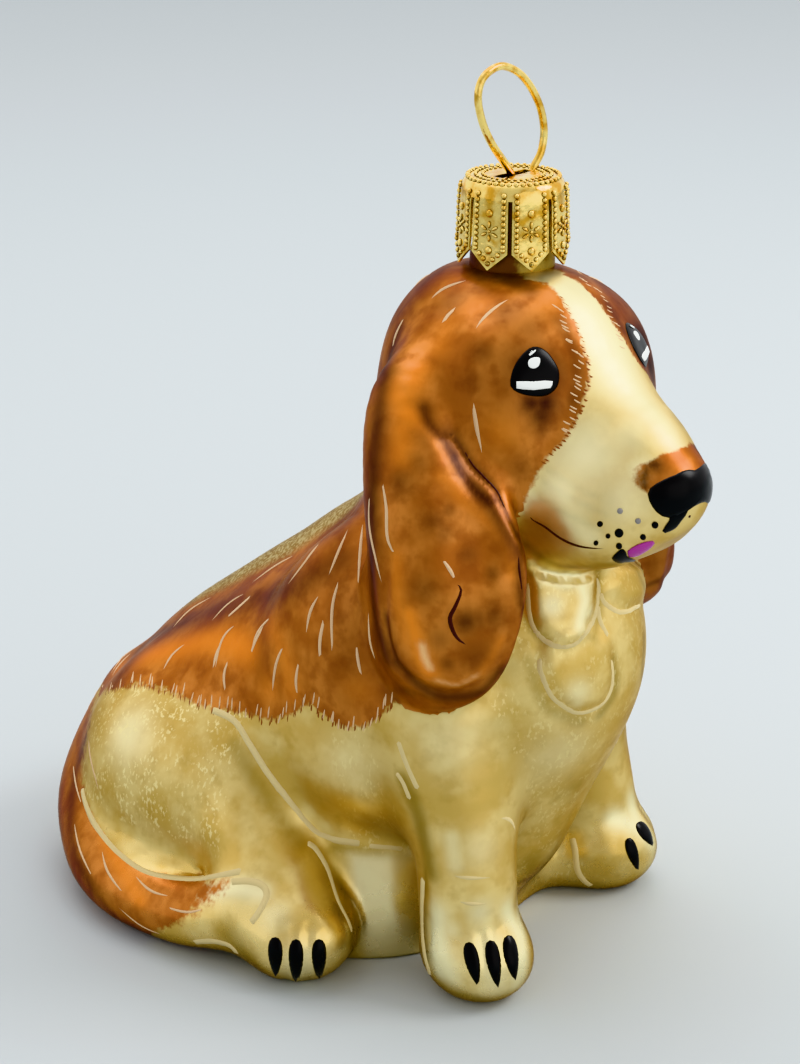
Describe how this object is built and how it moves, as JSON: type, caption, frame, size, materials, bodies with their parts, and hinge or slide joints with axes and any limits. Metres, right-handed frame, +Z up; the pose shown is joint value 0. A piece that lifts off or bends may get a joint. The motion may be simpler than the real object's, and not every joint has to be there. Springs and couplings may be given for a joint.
{
  "type": "glass dog ornament",
  "caption": "Hanging tree ornament of silvered, lacquered blown glass: a sitting basset hound with long ears, turned head and curled tail, under a stamped gold crown cap with a wire loop.",
  "frame": {"origin": "under the middle of the whole ornament, on the floor it sits on", "axes": "+Z up through the cap and the loop; the hound faces -Y and its right side is -X"},
  "size_m": [0.0624, 0.087, 0.1049],
  "materials": {
    "brown_lacquered_glass": "semi-gloss red-brown lacquer over silvered glass, amber where it is thin",
    "pale_lacquered_glass": "pearly pale champagne-gold lacquer over silvered glass, with fine glitter",
    "stamped_gold_cap": "bright gold-coloured thin stamped metal with a beaded pattern",
    "gold_wire": "bright gold-coloured wire"
  },
  "bodies": {
    "root": {"head": "brown_lacquered_glass", "ear_right": "brown_lacquered_glass", "ear_left": "brown_lacquered_glass", "torso": "brown_lacquered_glass", "tail": "brown_lacquered_glass", "chest": "pale_lacquered_glass", "foreleg_right": "pale_lacquered_glass", "foreleg_left": "pale_lacquered_glass", "hindleg_right": "pale_lacquered_glass", "hindleg_left": "pale_lacquered_glass", "cap": "stamped_gold_cap", "hanger": "gold_wire"}
  },
  "joints": []
}
